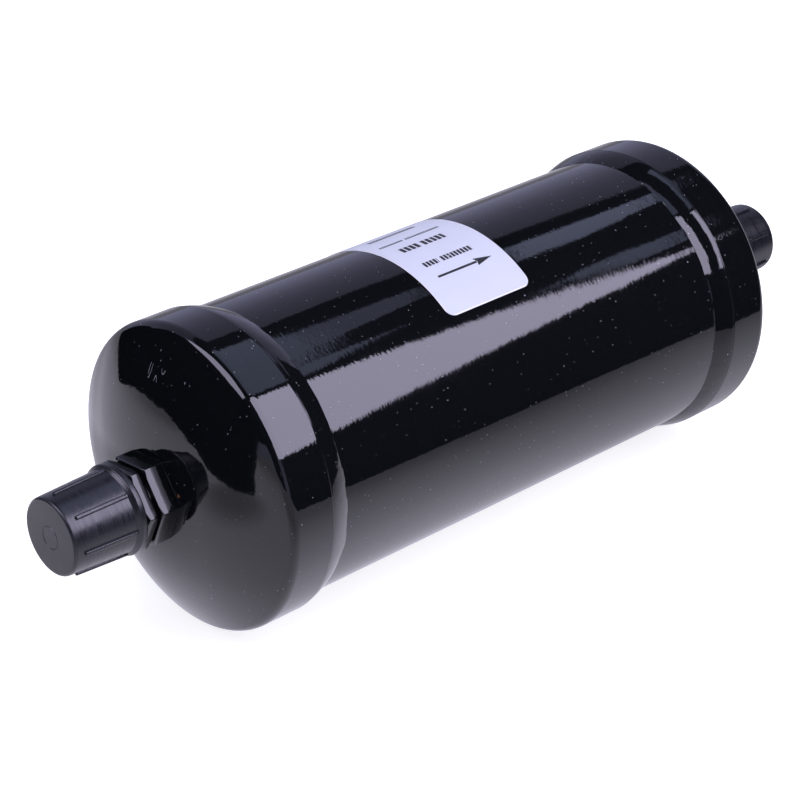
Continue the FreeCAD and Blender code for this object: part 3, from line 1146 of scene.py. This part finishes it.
@dataclass
class FlareEnd:
    """One end's hexagon fitting, its thread and the moulded cap over it."""

    end: End
    hex_turn: float
    rib_turn: float
    seat: float = FITTING_SEAT
    inner_seat: float = FITTING_SEAT - END_WALL
    corner_radius: float = 11.547 * MM
    base_length: float = 5.3 * MM
    groove_width: float = 1.2 * MM
    groove_radius: float = 8.4 * MM
    front_length: float = 2.8 * MM
    chamfer: float = 0.9 * MM
    relief_length: float = 1.6 * MM
    thread_length: float = 14.6 * MM
    thread_radius: float = 7.9375 * MM
    thread_depth: float = 0.86 * MM
    thread_pitch: float = 1.411 * MM
    nose_length: float = 3.1 * MM
    port_radius: float = 3.97 * MM
    spigot_radius: float = 6.35 * MM
    spigot_reach: float = 3.0 * MM
    cap_bore_radius: float = 8.2375 * MM
    cap_face_radius: float = 9.9375 * MM
    cap_mouth_radius: float = 10.6875 * MM
    cap_bead_length: float = 2.9 * MM
    cap_bead_rise: float = 0.9 * MM
    cap_edge_radius: float = 0.9 * MM
    cap_gap: float = 0.3 * MM
    cap_tip_gap: float = 1.0 * MM
    cap_end_wall: float = 1.6 * MM
    cap_bore_edge: float = 0.8 * MM
    gate_radius: float = 2.9 * MM
    rib_count: int = 7
    rib_width: float = 1.1 * MM
    rib_height: float = 0.6 * MM
    rib_setback: float = 2.6 * MM

    @property
    def hex_face(self) -> float:
        """Return the place of the hexagon's outer face."""
        return self.seat + self.base_length + self.groove_width + self.front_length

    @property
    def tip(self) -> float:
        """Return the place of the flare nose's end."""
        return self.hex_face + self.thread_length + self.nose_length

    @property
    def cap_mouth(self) -> float:
        """Return the place of the cap's mouth."""
        return self.hex_face + self.cap_gap

    @property
    def cap_face(self) -> float:
        """Return the place of the cap's flat face."""
        return self.tip + self.cap_tip_gap + self.cap_end_wall

    def build(self, finishes: FinishSet) -> None:
        """Build and place the fitting and its cap.

        Args:
            finishes: the drier's finishes.
        """
        prefix = self.end.node_prefix
        fitting = self.fitting()
        turn_about_axis(fitting, self.hex_turn)
        finishes.dress(fitting, "black_paint")
        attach(fitting, "drier")
        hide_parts(f"{prefix}_fitting")
        cap = self.cap()
        turn_about_axis(cap, self.rib_turn)
        finishes.dress(cap, "cap_plastic")
        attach(cap, f"{prefix}_cap")
        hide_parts(f"{prefix}_thread_cap")
        for piece in (fitting, cap):
            LOG.info("%s: %d faces", piece.name, len(piece.data.polygons))

    def fitting(self) -> Piece:
        """Build the fitting: hexagon with its groove, relief, thread, nose and port.

        Returns:
            The fitting, as one piece.
        """
        piece = join(f"{self.end.node_prefix}_fitting_turned", [self.hexagon(), self.shank(), self.thread()])
        face_outlet(piece, self.end)
        smooth(piece, 32)
        return piece

    def hexagon(self) -> Piece:
        """Cut the hexagon bar to the barrel that its chamfers and groove are turned to.

        Returns:
            The hexagon.
        """
        length = self.hex_face - self.seat
        middle = (self.seat + length / 2, 0, 0)
        clear_selection()
        bpy.ops.mesh.primitive_cylinder_add(vertices=6, radius=self.corner_radius, depth=length,
                                            location=middle, rotation=(0, math.pi / 2, 0))
        bar = bpy.context.object
        settle(bar)
        turn_about_axis(bar, self._corner_offset(bar))
        low = self.corner_radius - self.chamfer
        groove = self.seat + self.base_length
        front = groove + self.groove_width
        outside = self.corner_radius + 0.5 * MM
        out_run = (outside - low) * math.tan(math.radians(30))
        fillet = 0.25 * MM
        bottom, root = self.groove_radius, self.groove_radius + fillet
        profile: Profile = [
            (self.seat - MM, outside), (groove - out_run, outside), (groove, low), (groove, root),
            (groove + fillet, bottom), (front - fillet, bottom), (front, root), (front, low),
            (front + out_run, outside), (self.hex_face - out_run, outside), (self.hex_face, low),
            (self.hex_face, self.port_radius), (self.seat - MM, self.port_radius),
        ]
        barrel = turn_profile("barrel", profile, 96)
        apply_modifier(bar, "BOOLEAN", operation="INTERSECT", object=barrel, solver="EXACT")
        bpy.data.objects.remove(barrel)
        round_edges(bar, 0.16 * MM, 2, 28)
        return bar

    @staticmethod
    def _corner_offset(bar: Piece) -> float:
        """Return the turn that brings a corner of the hexagon onto +Y, in degrees."""
        vertex = bar.data.vertices[0].co
        return -math.degrees(math.atan2(vertex.z, vertex.y))

    def shank(self) -> Piece:
        """Turn the spigot, the thread's core, the 45 degree nose and the port.

        Returns:
            The shank.
        """
        root = self.thread_radius - self.thread_depth
        relief = self.hex_face + self.relief_length
        nose_start = self.tip - self.nose_length + (self.thread_radius - root)
        tip_radius = self.thread_radius - self.nose_length
        spigot_end = self.inner_seat - self.spigot_reach
        edge, mouth = 0.15 * MM, 0.4 * MM
        profile: Profile = [
            (spigot_end, self.port_radius), (spigot_end, self.spigot_radius),
            (self.seat + MM, self.spigot_radius), (self.seat + MM, root), (relief, root), (nose_start, root),
            (self.tip - edge, tip_radius + edge), (self.tip, tip_radius - edge),
            (self.tip, self.port_radius + mouth), (self.tip - mouth, self.port_radius),
        ]
        return turn_profile("shank", profile, 96)

    def thread(self) -> Piece:
        """Sweep the 60 degree thread form along its helix.

        Returns:
            The thread.
        """
        sunk, overlap = 0.03 * MM, 0.2 * MM
        root = self.thread_radius - self.thread_depth - sunk
        crest = self.thread_radius
        start = self.hex_face + self.relief_length - overlap
        turns = int((self.thread_length - self.relief_length) / self.thread_pitch)
        half = self.thread_pitch / 2
        flat = self.thread_pitch / 16
        clear_selection()
        bpy.ops.mesh.primitive_plane_add(size=MM, location=(0, 0, 0))
        piece = bpy.context.object
        corners = [
            (start, root), (start + half - flat, crest),
            (start + half + flat, crest), (start + 2 * half, root),
        ]
        plane_order = (0, 1, 3, 2)
        with edit_mode(piece) as mesh:
            mesh.verts.ensure_lookup_table()
            for index, (x, radius) in zip(plane_order, corners):
                mesh.verts[index].co = Vector((x, 0, radius))
        near_root = root + 0.01 * MM
        with edit_mode(piece):
            bpy.ops.mesh.select_all(action="SELECT")
            bpy.ops.mesh.delete(type="ONLY_FACE")
            mesh = bmesh.from_edit_mesh(piece.data)
            for edge in mesh.edges:
                edge.select = all(vertex.co.z < near_root for vertex in edge.verts)
            bmesh.update_edit_mesh(piece.data)
            bpy.ops.mesh.delete(type="EDGE")
        apply_modifier(piece, "SCREW", axis="X", screw_offset=self.thread_pitch, iterations=turns, steps=48,
                       render_steps=48, use_merge_vertices=True, merge_threshold=0.002 * MM)
        close_and_face_out(piece)
        return piece

    def cap(self) -> Piece:
        """Build the moulded cap: tapered cup with a bead, rounded edge, gate mark and grip ribs.

        Returns:
            The cap.
        """
        mouth, face, bore = self.cap_mouth, self.cap_face, self.cap_bore_radius
        floor = face - self.cap_end_wall
        slope = (self.cap_mouth_radius - self.cap_face_radius) / (face - mouth)
        edge = self.cap_edge_radius

        def side(x: float) -> float:
            """Return the wall's outer radius at a place."""
            return self.cap_face_radius + slope * (face - x)

        bead_end = mouth + self.cap_bead_length
        top = self.cap_mouth_radius + self.cap_bead_rise
        mouth_edge, bead_edge, fillet = 0.55 * MM, 0.715 * MM, 0.35 * MM
        profile: Profile = [(mouth, bore), (mouth, self.cap_mouth_radius - 0.1 * MM)]
        profile += arc((mouth + mouth_edge, top - mouth_edge), mouth_edge, 180, 90, 6)
        profile += arc((mouth + self.cap_bead_length * 0.45, top - bead_edge), bead_edge, 90, 20, 6)
        profile += arc((bead_end, side(bead_end) + fillet), fillet, 200, 270, 5)
        for share in (0.35, 0.6, 0.8):
            x = mouth + (face - mouth) * share
            profile.append((x, side(x)))
        profile += arc((face - edge, self.cap_face_radius - edge), edge, 88, 2, 10)
        profile += self.gate_ring(face)
        inner = self.cap_bore_edge
        profile += [(floor, 0.02 * MM), (floor, bore - inner), (floor - inner, bore)]
        pieces = [turn_profile("cap_body", profile, 128)]
        for number in range(self.rib_count):
            rib = self.rib(side)
            turn_about_axis(rib, 90 + 360 * number / self.rib_count)
            pieces.append(rib)
        piece = join(f"{self.end.node_prefix}_cap_moulded", pieces)
        face_outlet(piece, self.end)
        smooth(piece, 40)
        return piece

    def gate_ring(self, face: float) -> Profile:
        """Return the outline of the cap's face, with the shallow ring of the mould's gate.

        Args:
            face: the place of the face.

        Returns:
            The outline, from the ring to the axis.
        """
        deep, shallow, slope = 0.12 * MM, 0.02 * MM, 0.14 * MM
        half_floor, centre = 0.05 * MM, 0.02 * MM
        return [
            (face, self.gate_radius + slope), (face - deep, self.gate_radius + half_floor),
            (face - deep, self.gate_radius - half_floor), (face - shallow, self.gate_radius - slope),
            (face - shallow, centre),
        ]

    def rib(self, side: Callable[[float], float]) -> Piece:
        """Build one grip rib, standing on the +Y side of the outlet's cap.

        Args:
            side: gives the wall's outer radius at a place.

        Returns:
            The rib.
        """
        into_bead, into_wall = 0.3 * MM, 0.5 * MM
        first = self.cap_mouth + self.cap_bead_length - into_bead
        last = self.cap_face - self.rib_setback
        middle = (first + last) / 2
        clear_selection()
        bpy.ops.mesh.primitive_cube_add(size=1.0, location=(middle, 0, 0))
        rib = bpy.context.object
        settle(rib)
        for vertex in rib.data.vertices:
            x = last if vertex.co.x > middle else first
            y = side(x) + (self.rib_height if vertex.co.y > 0 else -into_wall)
            vertex.co = Vector((x, y, math.copysign(self.rib_width / 2, vertex.co.z)))
        round_edges(rib, 0.32 * MM, 4, 30)
        return rib


@dataclass
class Label:
    """The film label, cut flat and wrapped part of the way round the tube."""

    start: float = -18.6 * MM
    width: float = 28.6 * MM
    thickness: float = 0.1 * MM
    corner: float = 2.6 * MM
    first_angle: float = 35.0
    last_angle: float = 128.0
    tube_radius: float = TUBE_RADIUS
    arrow_angle: float = 110.0
    bands: int = 64

    @property
    def sweep(self) -> float:
        """Return how far the label reaches round the tube."""
        return math.radians(self.last_angle - self.first_angle) * self.tube_radius

    def build(self, finishes: FinishSet) -> None:
        """Build and place the label.

        Args:
            finishes: the drier's finishes.
        """
        piece = self.flat_sheet()
        apply_modifier(piece, "SOLIDIFY", thickness=self.thickness, offset=1.0)
        self.wrap(piece)
        close_and_face_out(piece, 0.0005 * MM)
        smooth(piece, 40)
        finishes.dress(piece, "label_film")
        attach(piece, "drier")
        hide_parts("label")
        LOG.info("%s: %d faces", piece.name, len(piece.data.polygons))

    def flat_sheet(self) -> Piece:
        """Cut the sheet with round corners, band it for bending and lay its flat coordinates.

        Returns:
            The flat sheet.
        """
        clear_selection()
        bpy.ops.mesh.primitive_plane_add(size=1.0, location=(0, 0, 0))
        piece = bpy.context.object
        piece.name = piece.data.name = "label_film_printed"
        piece.scale = (self.width, self.sweep, 1)
        settle(piece)
        with edit_mode(piece):
            bpy.ops.mesh.select_all(action="SELECT")
            bpy.ops.mesh.bevel(offset=self.corner, offset_type="OFFSET", segments=8, affect="VERTICES",
                               profile=0.5)
        with edit_mode(piece):
            for band in range(1, self.bands):
                height = self.sweep * (band / self.bands - 0.5)
                bpy.ops.mesh.select_all(action="SELECT")
                bpy.ops.mesh.bisect(plane_co=(0, height, 0), plane_no=(0, 1, 0))
        flat = piece.data.uv_layers.new(name="flat")
        arrow_v = math.radians(self.arrow_angle - self.first_angle) * self.tube_radius - self.sweep / 2
        for loop in piece.data.loops:
            place = piece.data.vertices[loop.vertex_index].co
            flat.data[loop.index].uv = (place.x + self.width / 2, place.y - arrow_v)
        return piece

    def wrap(self, piece: Piece) -> None:
        """Bend the flat sheet round the tube.

        Args:
            piece: the sheet, with its thickness.
        """
        middle = math.radians((self.first_angle + self.last_angle) / 2)
        for vertex in piece.data.vertices:
            angle = middle + vertex.co.y / self.tube_radius
            radius = self.tube_radius + vertex.co.z
            x = self.start + self.width / 2 + vertex.co.x
            vertex.co = Vector((x, radius * math.cos(angle), radius * math.sin(angle)))
        piece.data.update()


@dataclass
class CorePack:
    """What the shell holds: spring, plates, pads and the moulded core. Their solids stay as packed."""

    slots: dict[str, str] = field(default_factory=lambda: {
        "inlet_braze_ring": "braze",
        "outlet_braze_ring": "braze",
        "core_spring": "spring_steel",
        "spring_plate": "plate_steel",
        "inlet_pad": "glass_fibre",
        "desiccant_core": "desiccant",
        "core_gasket": "felt",
        "outlet_pad": "glass_fibre",
        "outlet_screen": "plate_steel",
        "outlet_plate": "plate_steel",
    })

    def build(self, finishes: FinishSet, nodes: dict[str, Piece]) -> None:
        """Dress the inner pieces.

        Args:
            finishes: the drier's finishes.
            nodes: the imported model's nodes.
        """
        for name, slot in self.slots.items():
            node = nodes[name]
            if not node.material_slots:
                node.data.materials.append(None)
            for material_slot in node.material_slots:
                material_slot.material = finishes.by_slot[slot]
            LOG.info("%s dressed as %s", name, slot)


# The studio


@dataclass(frozen=True)
class SoftBox:
    """A soft box, placed by where the shell mirrors it for the camera.

    Each corner is a place on the shell: how far along the drier in mm, how far round it in degrees, and,
    on a rounded edge, how far the surface leans towards the near end in degrees.
    """

    name: str
    corners: tuple[tuple[float, ...], ...]
    colour: Colour
    strength: float
    rays: Rays = Rays.REFLECTIONS
    distance: float = 1.2
    shell_radius: float = TUBE_RADIUS

    def build(self, eye: Vector) -> None:
        """Build the soft box as a stage surface that the camera doesn't see.

        Args:
            eye: the camera's place.
        """
        corners = [self.mirrored(eye, *corner) for corner in self.corners]
        build_stage_face(self.name, corners, self.colour, self.strength, self.rays)

    def mirrored(self, eye: Vector, along: float, degrees: float, lean: float = 0.0) -> Vector:
        """Follow the camera's ray to a place on the shell and on to the soft box.

        Args:
            eye: the camera's place.
            along: the place along the drier, in mm.
            degrees: the place's angle round the drier.
            lean: how far the surface leans towards the inlet, in degrees.

        Returns:
            The point that the place mirrors.
        """
        angle, tilt = math.radians(degrees), math.radians(lean)
        outwards = Vector((0, math.cos(angle), math.sin(angle)))
        place = Vector((along * MM, 0, 0)) + outwards * self.shell_radius
        normal = outwards * math.cos(tilt) - Vector((math.sin(tilt), 0, 0))
        ray = (place - eye).normalized()
        return place + (ray - 2 * ray.dot(normal) * normal) * self.distance


def build_stage_face(name: str, corners: Sequence[Vector], colour: Colour, strength: float,
                     rays: Rays = Rays.REFLECTIONS) -> None:
    """Build one flat face that lights or darkens what the paint mirrors, unseen by the camera.

    Args:
        name: the face's name.
        corners: its corners in order.
        colour: the colour of its light.
        strength: how bright it is, 0 for a black flag.
        rays: which rays see it.
    """
    clear_selection()
    bpy.ops.mesh.primitive_circle_add(vertices=len(corners), radius=1.0, fill_type="NGON", location=(0, 0, 0))
    face = bpy.context.object
    face.name = face.data.name = name
    for vertex, corner in zip(face.data.vertices, corners):
        vertex.co = corner
    face.data.update()
    material = bpy.data.materials.new(name)
    material.use_nodes = True
    graph = Graph(material.node_tree)
    graph.finish(graph.feed(graph.node("ShaderNodeEmission"), Color=colour, Strength=strength))
    face.data.materials.append(material)
    face.visible_camera = False
    face.visible_shadow = False
    face.visible_transmission = False
    face.visible_volume_scatter = False
    face.visible_diffuse = rays is Rays.REFLECTIONS_AND_LIGHT


PINK_WHITE: Colour = (1.03, 0.97, 1.30, 1.0)
BLUE_GREY: Colour = (0.77, 0.86, 1.28, 1.0)

SOFT_BOXES: tuple[SoftBox, ...] = (
    SoftBox("box_main", (
        (-84, 128.6, 5), (-84, 128.6), (-64, 129.2), (-45, 130.2), (-25, 131.6), (0, 133.3), (20, 135.2),
        (35, 137.2), (50, 138.8), (66, 139.4), (66, 141.0), (50, 141.9), (35, 142.9), (20, 143.7), (0, 144.7),
        (-25, 146.4), (-45, 147.8), (-64, 149.4), (-84, 150.6), (-84, 150.6, 5),
    ), PINK_WHITE, 5.6, Rays.REFLECTIONS_AND_LIGHT),
    SoftBox("box_main_edge", (
        (-84, 128.6, 27), (-84, 128.6), (-84, 150.6), (-84, 150.6, 27),
    ), PINK_WHITE, 5.6, distance=0.3),
    SoftBox("box_blue_near", (
        (-84, 106.6, 5), (-84, 106.6), (-70, 107.0), (-70, 127.6), (-84, 127.2), (-84, 127.2, 5),
    ), BLUE_GREY, 0.9),
    SoftBox("box_blue_edge", (
        (-84, 106.6, 20), (-84, 106.6), (-84, 127.2), (-84, 127.2, 20),
    ), BLUE_GREY, 0.9, distance=0.3),
    SoftBox("box_blue_left", (
        (-69.8, 108.4), (-45, 110.2), (-20, 111.2), (-20, 116.2), (-45, 117.3), (-69.8, 120.4),
    ), BLUE_GREY, 0.58),
    SoftBox("box_blue_low_left", (
        (-69.8, 122.7), (-55, 123.1), (-37, 123.9), (-45, 124.9), (-55, 126.4), (-69.8, 127.6),
    ), BLUE_GREY, 0.98),
    SoftBox("box_blue_right", (
        (6, 109.2), (35, 110.6), (66, 111.2), (66, 116.0), (50, 116.8), (35, 118.4), (20, 117.3), (6, 117.0),
    ), BLUE_GREY, 1.28),
    SoftBox("box_blue_low_right", (
        (15, 131.9), (35, 129.7), (50, 130.9), (66, 131.1), (66, 135.8), (50, 136.3), (35, 134.9),
    ), BLUE_GREY, 1.0),
    SoftBox("box_rim", (
        (-84, 94, 45), (-84, 101, 54), (-84, 110, 57), (-84, 121, 57), (-84, 127, 50), (-84, 127, 38),
        (-84, 118, 34), (-84, 106, 38),
    ), PINK_WHITE, 4.4),
)


@dataclass(frozen=True)
class Slope:
    """A smooth change of brightness between two places along a coordinate."""

    start: float
    stop: float
    first: float
    last: float

    def level(self, graph: Graph, along: Socket) -> Socket:
        """Return the slope's level at a coordinate's socket."""
        return graph.ramp(along, self.start, self.stop, self.first, self.last)


@dataclass(frozen=True)
class DarkOval:
    """An oval on the table that the paint mirrors darker, where the drier shades it."""

    centre: tuple[float, float]
    stretch: tuple[float, float]
    edge: Slope

    def share(self, graph: Graph, x: Socket, y: Socket) -> Socket:
        """Return the share of the light that is left.

        Args:
            graph: the table's graph.
            x: the coordinate along the drier.
            y: the coordinate across it.

        Returns:
            The share's socket, which is 1 outside the oval.
        """
        squares = []
        for part, middle, factor in zip((x, y), self.centre, self.stretch):
            off = graph.math("MULTIPLY", graph.math("SUBTRACT", part, middle), factor)
            squares.append(graph.math("MULTIPLY", off, off))
        return self.edge.level(graph, graph.math("ADD", *squares))


@dataclass(frozen=True)
class TableImage:
    """How bright the paint mirrors the table, worked out from the place on the table."""

    # the table's painted light and shade as the paint mirrors it: brightness slopes across and along the
    # table, a painted contact shadow in front of the drier's foot, and painted shadow ovals
    front: Slope = Slope(-0.160, -0.045, 0.66, 1.42)
    back: Slope = Slope(0.15, 0.56, 0.0, 0.70)
    left: Slope = Slope(-0.07, -0.11, 1.0, 0.80)
    right: Slope = Slope(-0.03, 0.09, 1.0, 0.70)
    foot_shadow_across: Slope = Slope(-0.050, -0.015, 0.0, 0.40)
    foot_shadow_along: Slope = Slope(-0.10, -0.07, 0.0, 1.0)
    ovals: tuple[DarkOval, ...] = (
        DarkOval((-0.235, -0.010), (12.5, 22.0), Slope(0.0, 1.2, 0.45, 1.0)),
        DarkOval((-0.08, 0.06), (11.0, 17.0), Slope(0.2, 1.3, 0.65, 1.0)),
    )

    def level(self, graph: Graph) -> Socket:
        """Return the brightness at each place.

        Args:
            graph: the table's graph.

        Returns:
            The brightness's socket.
        """
        x, y, _ = graph.split(graph.place())
        across = graph.math("SUBTRACT", self.front.level(graph, y), self.back.level(graph, y))
        along = graph.math("MULTIPLY", self.left.level(graph, x), self.right.level(graph, x))
        level = graph.math("MULTIPLY", across, along)
        # painted contact shadow: darker just in front of the drier's foot, beside the tube
        foot = graph.math("MULTIPLY", self.foot_shadow_across.level(graph, y), self.foot_shadow_along.level(graph, x))
        level = graph.math("MULTIPLY", level, graph.math("SUBTRACT", 1.0, foot))
        for oval in self.ovals:
            level = graph.math("MULTIPLY", level, oval.share(graph, x, y))
        return level


@dataclass
class Studio:
    """The white table, the soft light, the dark flags and the camera."""

    floor_level: float = -40.5 * MM
    floor_size: float = 12.0
    room_level: Slope = Slope(0.05, 0.70, 0.57, 0.33)
    room_tint: Colour = (0.85, 0.86, 1.28, 1.0)
    floor_tint: Colour = (1.0, 0.975, 1.15, 1.0)
    board_top: float = 0.12
    board_foot: tuple[tuple[float, float], ...] = (
        (-0.271, -0.040), (-0.271, -0.003), (-0.322, 0.045), (-0.504, 0.158), (-0.849, 0.470),
        (-1.100, 0.800), (-0.613, 0.683), (-0.415, 0.537), (-0.276, 0.408), (-0.195, 0.330),
        (-0.200, 0.620), (-0.300, 1.620),
    )
    ceiling: float = 1.6
    ceiling_back: float = 1.09
    flag_left_x: float = -1.6
    flag_right_x: float = 2.6
    flag_front_y: float = -2.4
    table_grey: Colour = (0.8, 0.8, 0.8, 1.0)
    table_glow: float = 0.80
    lamp_place: Point = (-0.15, -0.25, 1.5)
    lamp_size: float = 1.5
    lamp_watts: float = 11.0
    camera_place: Point = (-0.40653, -0.42527, 0.30616)
    camera_forward: Point = (0.5982, 0.6475, -0.4721)
    camera_lens: float = 113.80
    camera_reach: tuple[float, float] = (0.01, 50.0)

    def build(self) -> None:
        """Build the whole studio."""
        self.room()
        self.floor()
        self.flags()
        self.soft_boxes()
        self.lamps()
        self.camera()
        bpy.context.scene.view_settings.view_transform = "Standard"

    def room(self) -> None:
        """Give the room a plain pale level that falls off with height."""
        world = bpy.data.worlds.new("room")
        bpy.context.scene.world = world
        world.use_nodes = True
        graph = Graph(world.node_tree)
        _, _, height = graph.split(graph.place())
        level = self.room_level.level(graph, height)
        background = graph.feed(graph.node("ShaderNodeBackground"), Color=self.room_tint, Strength=level)
        graph.finish(background, "ShaderNodeOutputWorld")

    def floor(self) -> None:
        """Lay the white table, which shows white to the camera and keeps the drier's shadow."""
        clear_selection()
        bpy.ops.mesh.primitive_plane_add(size=self.floor_size, location=(0, 0, self.floor_level))
        floor = bpy.context.object
        settle(floor)
        floor.name = floor.data.name = "white_table"
        material = bpy.data.materials.new("white_table")
        material.use_nodes = True
        graph = Graph(material.node_tree)
        diffuse = graph.feed(graph.node("ShaderNodeBsdfDiffuse"), Color=self.table_grey)
        paths = graph.node("ShaderNodeLightPath")
        glow = graph.math("MULTIPLY", paths.outputs["Is Camera Ray"], self.table_glow)
        seen = graph.feed(graph.node("ShaderNodeEmission"), Strength=glow)
        # glossy rays see the table as an emission of painted light and shade, in place of its lit surface
        image = graph.node("ShaderNodeEmission")
        graph.feed(image, Color=self.floor_tint, Strength=TableImage().level(graph))
        lit = graph.node("ShaderNodeAddShader")
        graph.put(lit.inputs[0], diffuse.outputs[0])
        graph.put(lit.inputs[1], seen.outputs[0])
        either = graph.node("ShaderNodeMixShader")
        sources = (paths.outputs["Is Glossy Ray"], lit.outputs[0], image.outputs[0])
        for socket, source in zip(either.inputs, sources):
            graph.put(socket, source)
        graph.finish(either)
        floor.data.materials.append(material)

    def flags(self) -> None:
        """Hang the black flags that keep the paint black between its bands."""
        top, back, low = self.ceiling, self.ceiling_back, self.floor_level
        left, right, front = self.flag_left_x, self.flag_right_x, self.flag_front_y
        table = low + MM
        faces = {
            "flag_above": [(-2.2, back, top), (1.38, back, top), (3.2, back - 1.8, top), (3.2, front, top),
                           (-2.2, front, top)],
            "flag_left": [(left, front, low), (left, -0.45, low), (left, -0.45, 0.15), (left, -0.12, 0.15),
                          (left, -0.12, low), (left, 3.0, low), (left, 3.0, top), (left, front, top)],
            "flag_right": [(right, 0.55, low), (right, 0.55, top), (right, front, top), (right, front, low)],
            "flag_front": [(right, front, low), (right, front, top), (-0.3, front, top), (-0.3, front, low)],
            "flag_table": [(0.036, -0.170, table), (0.159, -0.135, table), (right, 0.45, table),
                           (right, front, table), (-0.6, front, table)],
        }
        for number, (first, last) in enumerate(zip(self.board_foot, self.board_foot[1:])):
            faces[f"board_{number}"] = [
                (*first, low), (*last, low), (*last, self.board_top), (*first, self.board_top),
            ]
        black: Colour = (0.0, 0.0, 0.0, 1.0)
        for name, corners in faces.items():
            build_stage_face(name, [Vector(corner) for corner in corners], black, 0.0)

    def soft_boxes(self) -> None:
        """Place the soft boxes that the paint mirrors as bands."""
        for box in SOFT_BOXES:
            box.build(Vector(self.camera_place))

    def lamps(self) -> None:
        """Hang the overhead light, which lights the matt surfaces and isn't mirrored."""
        clear_selection()
        bpy.ops.object.light_add(type="AREA", location=self.lamp_place)
        lamp = bpy.context.object
        lamp.name = lamp.data.name = "overhead"
        lamp.data.shape = "SQUARE"
        lamp.data.size = self.lamp_size
        lamp.data.energy = self.lamp_watts
        lamp.visible_glossy = False
        lamp.rotation_euler = (-lamp.location).to_track_quat("-Z", "Y").to_euler()

    def camera(self) -> None:
        """Set the camera at the photograph's angle."""
        clear_selection()
        bpy.ops.object.camera_add(location=self.camera_place)
        camera = bpy.context.object
        camera.rotation_euler = Vector(self.camera_forward).to_track_quat("-Z", "Y").to_euler()
        camera.data.sensor_width = 36.0
        camera.data.lens = self.camera_lens
        camera.data.clip_start, camera.data.clip_end = self.camera_reach
        bpy.context.scene.camera = camera


def main() -> None:
    """Build the drier's pieces and the studio, in order."""
    logging.basicConfig(level=logging.INFO, format="%(name)s: %(message)s")
    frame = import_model()
    finishes = FinishSet(Effects())
    Shell().build(finishes)
    FlareEnd(End.INLET, hex_turn=-6.0, rib_turn=44.0).build(finishes)
    FlareEnd(End.OUTLET, hex_turn=0.0, rib_turn=10.0).build(finishes)
    Label().build(finishes)
    CorePack().build(finishes, frame["nodes"])
    Studio().build()
    clear_selection()


if __name__ == "__main__":
    main()
